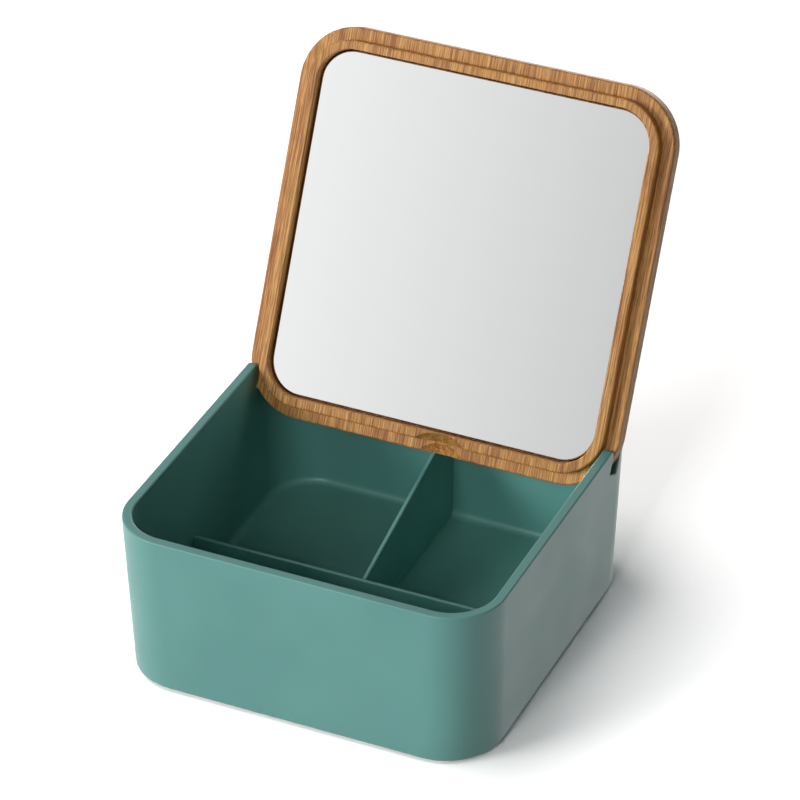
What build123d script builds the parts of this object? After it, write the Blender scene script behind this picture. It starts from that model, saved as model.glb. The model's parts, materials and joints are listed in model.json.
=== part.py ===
from build123d import *
import os
from math import cos, radians, sin, sqrt

# Square vanity box with a lift-off wooden lid that carries a mirror. The lid stands, leaning back,
# in two slots cut in the side walls near the rear corners.
#
# Frame, in millimetres: +Z up, +X to the right, the front of the box faces -Y. The origin is the
# middle of the flat underside that the box stands on.

# Box body, one moulding
box_width = 150.0  # across the rim, along X
box_depth = 150.0  # across the rim, along Y
box_height = 67.3  # from the table to the rim
wall = 3.75  # side wall
floor_thickness = 2.6
draft_inset = 1.85  # how far each side has come in where it meets the bottom edge
rim_corner_radius = 21.0
bottom_corner_radius = 22.5
bottom_edge_radius = 1.2  # round where the outer walls meet the underside
inner_floor_radius = 3.0  # round between the inner walls and the floor
rim_edge_radius = 0.6
base_height = 1.2  # the underside stands on a lower pad, set in from the edge
base_inset = 3.0

# Divider plates
divider_thickness = 1.6
divider_clearance = 0.1  # between a plate's ends and the walls
divider_top_radius = 0.5
strip_depth = 58.4  # clear depth of the front compartment at the rim
cross_height = 22.0  # above the inside floor
long_rise_angle = 14.9  # the top of the long plate climbs towards the rear

# Lid board: a flange as large as the rim, and a raised panel that drops inside the rim when closed
lid_overhang = 0.85  # the flange stands out beyond the rim on every side
flange_thickness = 6.5
flange_corner_radius = 22.3
panel_step = 4.2
panel_clearance = 0.2  # between the panel and the inner walls, lid closed
lid_edge_radius = 0.8
scoop_width = 18.0  # dished finger notch in the ledge, measured along the lid's lower edge
scoop_height = 4.5
scoop_depth = 2.3  # at the lid's lower edge
scoop_offset = 7.4  # its centre, to the right of the middle

# Mirror and its adhesive sheet, in a recess of the panel
rail_side = 3.85  # face of the panel left beside the recess
rail_top = 3.45
rail_bottom = 3.85
glass_setback = 3.4  # the glass lies this far below the panel's face
glass_thickness = 2.0
glass_gap = 0.7  # between the glass and the recess wall
glass_bevel = 0.4
sheet_thickness = 0.5
sheet_gap = 0.2  # between the adhesive sheet and the recess wall
recess_edge_radius = 0.4

# Slots that hold the standing lid
lid_lean = 25.6  # degrees from upright
slot_setback = 24.3  # from the rear of the rim to the standing lid's front face
slot_depth = 11.1  # along the lid
slot_clearance = 0.35  # on each face of the lid
slot_front_radius = 2.4  # the front of a slot's mouth is rounded down from the rim
slot_rear_radius = 2.0
seat_clearance = 0.3  # between the flange's round corners and the slot floors

LEAN_SIN = sin(radians(lid_lean))
LEAN_COS = cos(radians(lid_lean))
cut_reach = 20.0  # how far a cutter runs on past what it cuts


def inset_at(z):
    """How far each outer wall has come in at height z, from the draft."""
    return draft_inset * (box_height - z) / (box_height - base_height)


def corner_radius_at(z):
    """Radius of the outer corners at height z."""
    share = (box_height - z) / (box_height - base_height)
    return rim_corner_radius + (bottom_corner_radius - rim_corner_radius) * share


def section(z, inset):
    """Rounded rectangle that follows the outer walls at height z, set in by inset."""
    step = 2 * (inset + inset_at(z))
    outline = RectangleRounded(box_width - step, box_depth - step, corner_radius_at(z) - inset)
    return Pos(0, 0, z) * outline


def drafted_block(low, high, inset):
    """Solid between two heights whose sides follow the outer walls, set in by inset."""
    return loft([section(low, inset), section(high, inset)], ruled=True)


def lowest_edges(solid):
    return solid.edges().group_by(Axis.Z)[0]


# Heights and places that follow from the sizes above
inside_floor_z = base_height + floor_thickness
cross_top_z = inside_floor_z + cross_height
inner_half_depth = box_depth / 2 - wall
cross_front_y = -inner_half_depth + strip_depth
cross_rear_y = cross_front_y + divider_thickness


def cavity(clearance, high):
    """Inside of the box up to a height, set in from its walls by a clearance."""
    block = drafted_block(inside_floor_z, high, wall + clearance)
    return fillet(lowest_edges(block), inner_floor_radius)


# Standing lid: its flange's round lower corners sit on the slot floors at the inner wall faces
lid_width = box_width + 2 * lid_overhang
lid_height = box_depth + 2 * lid_overhang
slot_floor_z = box_height - slot_depth * LEAN_COS
seat_half_width = box_width / 2 - inset_at(slot_floor_z) - wall
seat_run = seat_half_width - (lid_width / 2 - flange_corner_radius)
corner_drop = flange_corner_radius - sqrt(flange_corner_radius**2 - seat_run**2)
lid_sink = slot_depth - seat_clearance + corner_drop
rim_meets_lid_y = box_depth / 2 - slot_setback

# The lid's own plane: X across, Y up the lid, Z out of its front face. Its origin is the middle of
# the flange's lower edge, on the front face.
lid_plane = Plane(
    origin=(0, rim_meets_lid_y - lid_sink * LEAN_SIN, box_height - lid_sink * LEAN_COS),
    x_dir=(1, 0, 0),
    z_dir=(0, -LEAN_COS, LEAN_SIN),
)
ledge = lid_overhang + wall + panel_clearance
panel_corner_radius = flange_corner_radius - ledge
recess_width = lid_width - 2 * (ledge + rail_side)
recess_height = lid_height - 2 * ledge - rail_top - rail_bottom
recess_centre = ledge + rail_bottom + recess_height / 2
recess_radius = panel_corner_radius - rail_side
glass_back = panel_step - glass_setback - glass_thickness
recess_floor = glass_back - sheet_thickness

# Ball that cuts the finger notch: the round it leaves on the ledge, how far its centre lies in front
# of the ledge, and its radius
scoop_round = ((scoop_width / 2) ** 2 + scoop_height**2) / (2 * scoop_height)
scoop_rise = ((scoop_width / 2) ** 2 - scoop_depth**2) / (2 * scoop_depth)
scoop_ball = sqrt(scoop_round**2 + scoop_rise**2)


def lid_slab(width, height, radius, centre, back, front):
    """Rounded slab in the lid's own plane, between two distances from the flange's front face."""
    outline = Pos(0, centre, back) * RectangleRounded(width, height, radius)
    return extrude(outline, amount=front - back)


def recess_slab(gap, back, front):
    """Slab that fills the mirror recess but for a gap all round."""
    width = recess_width - 2 * gap
    height = recess_height - 2 * gap
    return lid_slab(width, height, recess_radius - gap, recess_centre, back, front)


def lid_point(up, out):
    """Y and Z of a point in the lid's own plane: up the lid, and out of its front face."""
    low_edge = lid_plane.origin
    y = low_edge.Y + up * LEAN_SIN - out * LEAN_COS
    z = low_edge.Z + up * LEAN_COS + out * LEAN_SIN
    return (y, z)


def slot_cutter(side):
    """Space for the standing lid in one side wall: a slanting slot with a rounded mouth."""
    low = lid_sink - slot_depth
    front = slot_clearance
    rear = -flange_thickness - slot_clearance
    high_z = box_height + cut_reach
    floor_radius = lid_edge_radius + slot_clearance
    outline = FilletPolyline(
        (rim_meets_lid_y - cut_reach, box_height),
        (rim_meets_lid_y - front / LEAN_COS, box_height),
        lid_point(low, front),
        lid_point(low, rear),
        (rim_meets_lid_y - rear / LEAN_COS, box_height),
        (rim_meets_lid_y + cut_reach, box_height),
        (rim_meets_lid_y + cut_reach, high_z),
        (rim_meets_lid_y - cut_reach, high_z),
        radius=[0, slot_front_radius, floor_radius, floor_radius, slot_rear_radius, 0, 0, 0],
        close=True,
    )
    profile = Plane.YZ * make_face(outline)
    wall_centre = side * (seat_half_width + wall / 2)
    return Pos(wall_centre, 0, 0) * extrude(profile, amount=2 * wall, both=True)


def rim_edges(body):
    """Edges all round the top of the walls, down into the slots and out again. The edges that cross
    the side walls are left out, because the slots' faces already meet smoothly there."""
    slot_floor_low = lid_point(lid_sink - slot_depth, -flange_thickness - slot_clearance)[1]
    wall_inside = box_width / 2 - 2 * wall
    found = []
    for edge in body.edges():
        middle = edge.center()
        crosses_wall = abs(edge.tangent_at(0.5).X) > 0.999 and abs(middle.X) > wall_inside
        if middle.Z > slot_floor_low - slot_clearance and not crosses_wall:
            found.append(edge)
    return found


def make_box_body():
    outer = drafted_block(base_height, box_height, 0)
    outer = fillet(lowest_edges(outer), bottom_edge_radius)
    hollow = drafted_block(inside_floor_z, box_height + cut_reach, wall)
    hollow = fillet(lowest_edges(hollow), inner_floor_radius)
    body = outer - hollow
    body += extrude(section(base_height, base_inset), amount=-base_height)
    for side in (-1, 1):
        body -= slot_cutter(side)
    return fillet(rim_edges(body), rim_edge_radius)


def make_cross_divider():
    slab = Box(box_width, divider_thickness, box_height)
    slab = Pos(0, (cross_front_y + cross_rear_y) / 2, box_height / 2) * slab
    plate = slab & cavity(divider_clearance, cross_top_z)
    top = plate.edges().group_by(Axis.Z)[-1].filter_by(Axis.X)
    return fillet(top, divider_top_radius)


def make_long_divider():
    rear_y = box_depth / 2
    rise = (rear_y - cross_rear_y) * sin(radians(long_rise_angle)) / cos(radians(long_rise_angle))
    profile = Plane.YZ * Polygon(
        (cross_rear_y, 0),
        (rear_y, 0),
        (rear_y, cross_top_z + rise),
        (cross_rear_y, cross_top_z),
        align=None,
    )
    slab = extrude(profile, amount=divider_thickness / 2, both=True)
    plate = slab & cavity(divider_clearance, box_height)
    top_face = plate.faces().filter_by(lambda face: face.normal_at().Z > 0.5)[0]
    top = [edge for edge in top_face.edges() if edge.length > strip_depth / 2]
    return fillet(top, divider_top_radius)


def make_lid_board():
    flange = lid_slab(
        lid_width, lid_height, flange_corner_radius, lid_height / 2, -flange_thickness, 0
    )
    flange = fillet(flange.edges().group_by(Axis.Z)[-1], lid_edge_radius)
    flange = fillet(flange.edges().group_by(Axis.Z)[0], lid_edge_radius)
    panel = lid_slab(
        lid_width - 2 * ledge,
        lid_height - 2 * ledge,
        panel_corner_radius,
        lid_height / 2,
        -lid_edge_radius,
        panel_step,
    )
    panel = fillet(panel.edges().group_by(Axis.Z)[-1], lid_edge_radius)
    board = flange + panel
    board -= recess_slab(0, recess_floor, panel_step + cut_reach)
    rim = [
        edge
        for edge in board.edges().group_by(Axis.Z)[-1]
        if abs(edge.center().X) < recess_width / 2 + recess_edge_radius
        and abs(edge.center().Y - recess_centre) < recess_height / 2 + recess_edge_radius
    ]
    board = fillet(rim, recess_edge_radius)
    board -= Pos(scoop_offset, scoop_height - scoop_round, scoop_rise) * Sphere(scoop_ball)
    return lid_plane * board


def make_mirror_glass():
    glass = recess_slab(glass_gap, glass_back, glass_back + glass_thickness)
    glass = chamfer(glass.edges().group_by(Axis.Z)[-1], glass_bevel)
    return lid_plane * glass


def make_mirror_tape():
    return lid_plane * recess_slab(sheet_gap, recess_floor, glass_back)


NODES = {
    "box_body": make_box_body,
    "cross_divider": make_cross_divider,
    "long_divider": make_long_divider,
    "lid_board": make_lid_board,
    "mirror_glass": make_mirror_glass,
    "mirror_tape": make_mirror_tape,
}

os.makedirs("parts", exist_ok=True)
for node, make in NODES.items():
    export_step(make(), f"parts/{node}.step")
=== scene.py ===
# %% [markdown]
# # A vanity box with a wooden mirror lid
# The object is a square tray of satin green plastic, split by two thin plates, and a wooden lid with
# a mirror let into it. The lid is loose: here it stands in two slanting slots near the rear corners.
# The construction is already there as a fixed frame of solids in metres. This file gives them their
# finishes, and adds the floor, the light and the camera. Its own lengths are in metres too.

# %% Load the fixed frame
import json
import math
import bpy
import numpy as np
from mathutils import Matrix, Vector


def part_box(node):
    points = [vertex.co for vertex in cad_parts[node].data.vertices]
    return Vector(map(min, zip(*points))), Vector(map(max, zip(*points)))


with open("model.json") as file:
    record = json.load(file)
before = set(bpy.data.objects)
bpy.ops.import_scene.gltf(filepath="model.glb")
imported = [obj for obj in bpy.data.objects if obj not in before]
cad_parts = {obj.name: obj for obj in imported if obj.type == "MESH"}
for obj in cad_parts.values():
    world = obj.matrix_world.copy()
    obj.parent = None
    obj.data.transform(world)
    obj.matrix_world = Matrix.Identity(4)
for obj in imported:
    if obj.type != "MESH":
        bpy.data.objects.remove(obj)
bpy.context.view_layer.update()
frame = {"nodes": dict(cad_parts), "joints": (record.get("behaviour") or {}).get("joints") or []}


def millimetres(lengths):
    """Lengths in metres as a list in millimetres, rounded to a tenth for printing."""
    return [round(1000 * float(length), 1) for length in lengths]


for node in sorted(frame["nodes"]):
    low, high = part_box(node)
    print(f"{node}: {millimetres(high - low)} mm")

# %% [markdown]
# ## A helper for node graphs
# A finish in Blender is a graph of nodes that ends in a shader. It could be wired by hand in the
# editor, but a script can be read, changed and run again. Written out node by node it gets long, so
# `add` makes one node with its inputs and settings, and `shade` fills the inputs of the shader. The
# same helper serves the materials and the world.


# %% A node graph
class Graph:
    """The node graph of a material or a world, with the shader that ends it."""

    def __init__(self, owner, shader="Principled BSDF"):
        owner.use_nodes = True
        self.owner = owner
        self.tree = owner.node_tree
        self.shader = self.tree.nodes[shader]

    def feed(self, node, inputs):
        """Fills inputs, given by name or number, with plain values or with other nodes' outputs."""
        for name, value in inputs.items():
            socket = node.inputs[name]
            if isinstance(value, bpy.types.NodeSocket):
                self.tree.links.new(value, socket)
            else:
                socket.default_value = value

    def add(self, kind, inputs=None, **settings):
        node = self.tree.nodes.new("ShaderNode" + kind)
        for name, value in settings.items():
            setattr(node, name, value)
        self.feed(node, inputs or {})
        return node

    def shade(self, inputs):
        self.feed(self.shader, inputs)


# %% [markdown]
# ## What changes from place to place
# No real surface is the same all over. Its drift, streaks and grain could be painted in an image, or
# worked out for every point from noise. Noise is used here, because it has no seams and keeps its
# real scale. It reads Object coordinates, which are metres on the piece, so it moves with the piece.

# %% Noise, and numbers made from it
MOST_OF_A_NOISE = (0.3, 0.7)   # a noise seldom leaves this span


def noise(graph, per_metre, detail=3.0, roughness=0.5, distortion=0.0,
          turn=(0, 0, 0), scale=(1, 1, 1)):
    """Noise from 0 to 1, with about so many spots to the metre. The coordinates are turned by Euler
    angles and then scaled, and a scale below 1 draws the spots out along that axis."""
    place = graph.add("TexCoord").outputs["Object"]
    turned = graph.add("Mapping", {"Vector": place, "Rotation": turn}).outputs["Vector"]
    scaled = graph.add("Mapping", {"Vector": turned, "Scale": scale}).outputs["Vector"]
    inputs = {"Vector": scaled, "Scale": per_metre, "Detail": detail,
              "Roughness": roughness, "Distortion": distortion}
    return graph.add("TexNoise", inputs).outputs["Fac"]


def spread(graph, value, span=MOST_OF_A_NOISE, result=(0, 1), **settings):
    """The value stretched so that the span's ends become the result's ends, and held there."""
    inputs = dict(enumerate((value, *span, *result)))
    return graph.add("MapRange", inputs, **settings).outputs[0]


def combine(graph, operation, first, second):
    """Two numbers put together by an operation such as ADD or MAXIMUM."""
    return graph.add("Math", {0: first, 1: second}, operation=operation).outputs[0]


# %% [markdown]
# ## Colours and bumps
# Colours are written as a screen shows them, from 0 to 255. Light adds up in linear numbers, so
# `colour` turns the one into the other. A bump tilts the surface's normal without moving the surface,
# which suits grain far finer than the mesh.


# %% Colours, bumps and finishing a node
def colour(red, green, blue):
    """Linear colour of a screen colour: each channel over 255, undone from the screen's curve, which
    is a straight line below 0.04 and a power of 2.4 above it."""
    c = np.array([red, green, blue]) / 255
    linear = np.where(c <= 0.04045, c / 12.92, ((c + 0.055) / 1.055) ** 2.4)
    return (*(float(x) for x in linear), 1.0)


def mix(graph, share, first, second):
    """The first colour where the share is 0, the second where it is 1. A Mix node has a pair of
    inputs for each kind of value, and its colours are the inputs 6 and 7 and the output 2."""
    inputs = {"Factor": share, 6: first, 7: second}
    return graph.add("Mix", inputs, data_type="RGBA").outputs[2]


def bump(graph, height, strength, distance):
    """A normal tilted as if the height, from 0 to 1, rose by the distance in metres."""
    inputs = {"Height": height, "Strength": strength, "Distance": distance}
    return graph.add("Bump", inputs).outputs["Normal"]


def finish_nodes(graph, *nodes):
    """Gives CAD nodes their material by way of their material slots."""
    for name in nodes:
        slots = frame["nodes"][name].material_slots
        for slot in slots:
            slot.material = graph.owner
        print(f"{name}: {graph.owner.name} on {len(slots)} slot")


# %% [markdown]
# ## The moulded green plastic
# The tray and its two plates are one satin plastic. A real moulding is never one flat colour: the
# pigment drifts a little, and the mould leaves a very fine, even texture that breaks up its shine.
# Large, weak noise moves the colour, and fine noise in the roughness and the bump makes the satin.

# %% Plastic
PLASTIC = colour(101, 161, 154)
PLASTIC_DEEP = colour(94, 153, 147)
PIGMENT_PER_METRE = 22.0
PIGMENT_SPAN = (0.35, 0.65)
SHINE_PER_METRE = 60.0
SHINE_ROUGHNESS = (0.33, 0.40)
TEXTURE_PER_METRE = 2600.0
TEXTURE_ROUGHNESS = (0, 0.05)
TEXTURE_STRENGTH = 0.12
TEXTURE_HEIGHT = 0.00004
PLASTIC_IOR = 1.5

satin = Graph(bpy.data.materials.new("satin_green_plastic"))
pigment = spread(satin, noise(satin, PIGMENT_PER_METRE, detail=2.0), PIGMENT_SPAN)
texture = noise(satin, TEXTURE_PER_METRE, detail=2.0)
patches = spread(satin, noise(satin, SHINE_PER_METRE), result=SHINE_ROUGHNESS)
specks = spread(satin, texture, result=TEXTURE_ROUGHNESS)
satin.shade({
    "Base Color": mix(satin, pigment, PLASTIC_DEEP, PLASTIC),
    "Roughness": combine(satin, "ADD", patches, specks),
    "Normal": bump(satin, texture, TEXTURE_STRENGTH, TEXTURE_HEIGHT),
    "IOR": PLASTIC_IOR,
})
finish_nodes(satin, "box_body", "cross_divider", "long_divider")

# %% [markdown]
# ## Which way the grain runs
# The lid is one board, so the grain runs the same way through every rail, up the lid. That is the
# thing to get right: a picture frame would turn its grain at the corners, and a milled board doesn't.
# The lid lifts out along its own plane, so the axis of that motion says how far the board leans, and
# coordinates turned by as much have their Z axis along the grain.

# %% The grain's direction
lid_lean = math.acos(Vector(frame["joints"][0]["axis"]).normalized().z)
print(f"the lid leans back by {math.degrees(lid_lean):.1f} degrees")


def drawn_out(graph, per_metre, along_grain, **kind):
    """Noise drawn out along the grain: a spot is 1 / along_grain times as long as it is wide."""
    return noise(graph, per_metre, turn=(lid_lean, 0, 0), scale=(1, 1, along_grain), **kind)


def ramp(graph, value, *stops):
    """A run of colours: the stops are pairs of a place from 0 to 1 and a colour, in order."""
    node = graph.add("ValToRGB", {"Fac": value})
    points = node.color_ramp.elements
    while len(points) < len(stops):
        points.new(0.5)
    for point, (place, shade) in zip(points, stops):
        point.position = place
        point.color = shade
    return node.outputs["Color"]


# %% [markdown]
# ## The oiled wood
# Sawn wood shows broad growth bands, narrower streaks and small dark pores, all long along the grain.
# Three noises give them, each finer than the last. Bands and streaks add up to the tone, which runs
# from dark to light brown, and the pores darken it. Oil soaks in unevenly, so the streaks also make
# the surface more or less rough, and the pores are sunk a little.

# %% Bands, streaks and pores
BANDS_PER_METRE, BANDS_ALONG = 330.0, 0.04
STREAKS_PER_METRE, STREAKS_ALONG = 2300.0, 0.02
PORES_PER_METRE, PORES_ALONG = 3600.0, 0.035
PORE_SPAN = (0.36, 0.46)

wood = Graph(bpy.data.materials.new("oiled_wood"))
bands = drawn_out(wood, BANDS_PER_METRE, BANDS_ALONG, roughness=0.6, distortion=0.5)
streaks = drawn_out(wood, STREAKS_PER_METRE, STREAKS_ALONG, roughness=0.6, distortion=0.1)
pores = drawn_out(wood, PORES_PER_METRE, PORES_ALONG, detail=1.0)
pores = spread(wood, pores, PORE_SPAN, (1, 0))
print(f"a band is about {1000 / BANDS_PER_METRE:.0f} mm wide, a streak {1000 / STREAKS_PER_METRE:.1f} mm")

# %% Wood
WOOD_TONES = ((0.22, colour(146, 88, 36)), (0.5, colour(194, 134, 64)), (0.8, colour(226, 171, 96)))
WOOD_PORE = colour(92, 50, 18)
BAND_TONE = (0, 0.4)
STREAK_TONE = (0, 0.6)
STREAK_SPAN = (0.32, 0.68)
PORE_DARKNESS = 0.55
PORE_SINK = 0.8
RELIEF_STRENGTH = 0.35
RELIEF_HEIGHT = 0.00012
WOOD_ROUGHNESS = (0.60, 0.46)
WOOD_IOR = 1.45

band_tone = spread(wood, bands, result=BAND_TONE)
streak_tone = spread(wood, streaks, STREAK_SPAN, STREAK_TONE)
board = ramp(wood, combine(wood, "ADD", band_tone, streak_tone), *WOOD_TONES)
relief = combine(wood, "SUBTRACT", streaks, combine(wood, "MULTIPLY", pores, PORE_SINK))
wood.shade({
    "Base Color": mix(wood, combine(wood, "MULTIPLY", pores, PORE_DARKNESS), board, WOOD_PORE),
    "Roughness": spread(wood, streaks, result=WOOD_ROUGHNESS),
    "Normal": bump(wood, relief, RELIEF_STRENGTH, RELIEF_HEIGHT),
    "IOR": WOOD_IOR,
})
finish_nodes(wood, "lid_board")

# %% [markdown]
# ## The mirror
# Mirror glass reflects almost everything, with a trace of colour and hardly any blur. A perfect
# mirror looks like a hole, so wide, faint wipe marks change its roughness a little, and a very slow
# ripple bends what it shows, as in real float glass.

# %% Mirror
SILVER = (0.905, 0.915, 0.915, 1.0)
SILVER_DULL = (0.895, 0.905, 0.9, 1.0)
WIPES_PER_METRE = 60.0
WIPES_UPRIGHT = (1, 0.3, 0.3)
WIPE_SPAN = (0.45, 0.7)
MIRROR_ROUGHNESS = (0.008, 0.03)
RIPPLES_PER_METRE = 30.0
RIPPLE_STRENGTH = 0.02
RIPPLE_HEIGHT = 0.0001

mirror = Graph(bpy.data.materials.new("mirror_silver"))
wipes = noise(mirror, WIPES_PER_METRE, 4.0, roughness=0.6, distortion=1.0, scale=WIPES_UPRIGHT)
ripple = noise(mirror, RIPPLES_PER_METRE, detail=1.0)
mirror.shade({
    "Base Color": mix(mirror, wipes, SILVER_DULL, SILVER),
    "Roughness": spread(mirror, wipes, WIPE_SPAN, MIRROR_ROUGHNESS),
    "Normal": bump(mirror, ripple, RIPPLE_STRENGTH, RIPPLE_HEIGHT),
    "Metallic": 1.0,
})
finish_nodes(mirror, "mirror_glass")

# %% [markdown]
# ## The foam behind the mirror
# A thin black foam sheet holds the glass. Only its edge shows, as a dark line in the gap round the
# glass, so it is nearly black and dull, with fine cells that keep the line from looking printed.

# %% Foam
FOAM_DARK = colour(10, 9, 9)
FOAM_LIGHT = colour(24, 22, 22)
CELLS_PER_METRE = 2500.0
CELL_STRENGTH = 0.4
CELL_HEIGHT = 0.0001

foam = Graph(bpy.data.materials.new("black_foam"))
cells = noise(foam, CELLS_PER_METRE, detail=2.0)
foam.shade({
    "Base Color": mix(foam, cells, FOAM_DARK, FOAM_LIGHT),
    "Roughness": 0.9,
    "Normal": bump(foam, cells, CELL_STRENGTH, CELL_HEIGHT),
})
finish_nodes(foam, "mirror_tape")

# %% [markdown]
# ## The floor
# The box stands on white paper. A real photographer lights the paper apart from the object, so that
# it turns white while the object keeps its colour. The floor's material does the same by asking what
# kind of ray has met it: the camera sees white paper that still takes a shadow, gloss and the mirror
# see a pale glow, and the light that bounces up to the box is that of a darker floor.


# %% The floor's sheet
def level_sheet(name, reach):
    """A level square: the point for u and v, both from -1 to 1, is (u reach, v reach, 0)."""
    u, v = np.meshgrid([-1.0, 1.0], [-1.0, 1.0])
    points = np.stack([reach * u, reach * v, 0 * u], axis=-1).reshape(-1, 3)
    round_the_edge = (0, 1, 3, 2)
    mesh = bpy.data.meshes.new(name)
    mesh.from_pydata(points.tolist(), [], [round_the_edge])
    made = bpy.data.objects.new(name, mesh)
    bpy.context.scene.collection.objects.link(made)
    return made


FLOOR_REACH = 6.0
floor = level_sheet("floor", FLOOR_REACH)
print(f"floor: {[2 * FLOOR_REACH] * 2} m")


# %% The floor's paper
def grey(level):
    """A grey of this level, from 0 to 1 in linear light."""
    return (level, level, level, 1.0)


FLOOR_SEEN = grey(1.0)
FLOOR_IN_GLOSS = grey(0.3)
FLOOR_BOUNCE = grey(0.13)
GLOW_SEEN = 0.04
GLOW_IN_GLOSS = 0.9

paper = Graph(bpy.data.materials.new("white_floor"))
rays = paper.add("LightPath").outputs
seen = combine(paper, "MAXIMUM", rays["Is Camera Ray"], rays["Is Transmission Ray"])
in_gloss = rays["Is Glossy Ray"]
glow_seen = combine(paper, "MULTIPLY", seen, GLOW_SEEN)
glow_in_gloss = combine(paper, "MULTIPLY", in_gloss, GLOW_IN_GLOSS)
unseen = mix(paper, in_gloss, FLOOR_BOUNCE, FLOOR_IN_GLOSS)
paper.shade({
    "Base Color": mix(paper, seen, unseen, FLOOR_SEEN),
    "Emission Strength": combine(paper, "ADD", glow_seen, glow_in_gloss),
    "Emission Color": grey(1.0),
    "Roughness": 0.9,
})
floor.data.materials.append(paper.owner)
print(f"floor: {paper.owner.name}")

# %% [markdown]
# ## The studio round the box
# A studio is a grey room with pale cards. The lamps light the box, so the world adds next to nothing
# to that, but gloss and the mirror need something to show. The world's brightness there is
# worked out from the direction in which a ray leaves: a card stands at the left, and the room gets
# paler overhead. That gives the mirror its gentle slope from pale to darker grey. The camera itself
# sees plain white past the floor.

# %% World
WORLD_LIGHT = 0.02
STUDIO_GREY = 0.66
WHITE = 1.0
CARD_NEAR_EDGE = (-0.30, -0.385)
CARD_FAR_EDGE = (-0.46, -0.70)
CARD_FAR_LEVEL = 0.3
OVERHEAD = (0.33, 0.9)
OVERHEAD_LEVEL = 0.75
NO_OR_YES = (0, 1)

world = bpy.data.worlds.new("studio")
bpy.context.scene.world = world
studio = Graph(world, "Background")
direction_out = studio.add("TexCoord").outputs["Generated"]
towards = studio.add("SeparateXYZ", {"Vector": direction_out}).outputs
fades_in = spread(studio, towards["X"], CARD_NEAR_EDGE)
fades_out = spread(studio, towards["X"], CARD_FAR_EDGE, (1, CARD_FAR_LEVEL))
card = combine(studio, "MINIMUM", fades_in, fades_out)
overhead = spread(studio, towards["Z"], OVERHEAD, (0, OVERHEAD_LEVEL), interpolation_type="SMOOTHSTEP")
lit = combine(studio, "MAXIMUM", card, overhead)
in_gloss = spread(studio, lit, (0, 1), (STUDIO_GREY, WHITE))

rays = studio.add("LightPath").outputs
level = WORLD_LIGHT
for ray, shown in (("Glossy", in_gloss), ("Transmission", WHITE), ("Camera", WHITE)):
    level = spread(studio, rays[f"Is {ray} Ray"], NO_OR_YES, (level, shown))
studio.shade({"Strength": level, "Color": grey(1.0)})
print(f"world: {world.name}, light {WORLD_LIGHT}, grey {STUDIO_GREY} to {WHITE} in gloss")

# %% [markdown]
# ## The lamps
# The light is soft and comes from the front left: the front of the box is the brightest, the right
# side is in half shade, and its inside falls off to dark. A lamp is a square panel three metres away,
# whose size sets how soft its shadows are. The key and the front light do most of the work. The side
# light falls on the rim from the left, and the back light on the rear wall and the back of the lid.


# %% Lamps
def direction(azimuth, elevation):
    """Unit vector towards a place seen from the box: azimuth 0 is the front, 90 the right."""
    a, e = math.radians(azimuth), math.radians(elevation)
    return Vector((math.sin(a) * math.cos(e), -math.cos(a) * math.cos(e), math.sin(e)))


LAMP_DISTANCE = 3.0


def lamp(name, azimuth, elevation, size, power):
    """A square area light of a size in metres and a power in watts, turned to face the box."""
    light = bpy.data.lights.new(name, "AREA")
    light.size = size
    light.energy = power
    made = bpy.data.objects.new(name, light)
    towards = direction(azimuth, elevation)
    made.location = towards * LAMP_DISTANCE
    made.rotation_mode = "QUATERNION"
    made.rotation_quaternion = towards.to_track_quat("Z", "Y")
    bpy.context.scene.collection.objects.link(made)
    print(f"{name}: {size} m, {power} W, at {azimuth} round and {elevation} up")
    return made


lamp("key_light", -42, 22, 1.1, 59)
lamp("front_light", 0, 33, 0.8, 23)
lamp("side_light", -115, 50, 1.0, 9)
lamp("back_light", -172, 10, 1.0, 30)

# %% [markdown]
# ## The light on the floor
# The shadow on the paper is wide, soft and only to the right of the tray, and the standing lid throws
# none of it. No lamp that lights both the box and the floor gives that. Light linking does: this lamp
# lights only what is in one collection, the floor, and only what is in another, the tray and its
# plates, can stand in its way.

# %% Floor light
floor_light = lamp("floor_light", -78, 66, 2.2, 80)


def collection_of(name, *objects):
    """A collection that holds these objects, apart from where they are in the scene."""
    made = bpy.data.collections.new(name)
    for held in objects:
        made.objects.link(held)
    print(f"{name}: {[held.name for held in objects]}")
    return made


tray = [frame["nodes"][name] for name in ("box_body", "cross_divider", "long_divider")]
linking = floor_light.light_linking
linking.receiver_collection = collection_of("lit_by_floor_light", floor)
linking.blocker_collection = collection_of("in_the_way_of_floor_light", *tray)

# %% [markdown]
# ## The camera
# It looks down on the box from the front right with a long lens, so that parallel edges stay nearly
# parallel. Its place is worked out from the point it aims at, an azimuth, an elevation and a
# distance. The lens comes from how many pixels away a picture 800 pixels wide would hang.

# %% Camera
AIM = Vector((-0.00123, 0.02432, 0.08358))
AZIMUTH = 24.196
ELEVATION = 33.378
ROLL = -0.067
DISTANCE = 1.6899
FOCAL_PIXELS = 4558.3
FRAME_PIXELS = 800
SENSOR_MM = 36.0

camera = bpy.data.objects.new("camera", bpy.data.cameras.new("camera"))
bpy.context.scene.collection.objects.link(camera)
bpy.context.scene.camera = camera
back = direction(AZIMUTH, ELEVATION)
camera.location = AIM + back * DISTANCE
camera.rotation_mode = "QUATERNION"
facing = (-back).to_track_quat("-Z", "Y")
camera.rotation_quaternion = facing @ Matrix.Rotation(math.radians(ROLL), 4, "Z").to_quaternion()
camera.data.sensor_width = SENSOR_MM
camera.data.lens = SENSOR_MM * FOCAL_PIXELS / FRAME_PIXELS
bpy.context.scene.view_settings.view_transform = "Standard"
print(f"lens {camera.data.lens:.1f} mm, at {millimetres(camera.location)} mm")
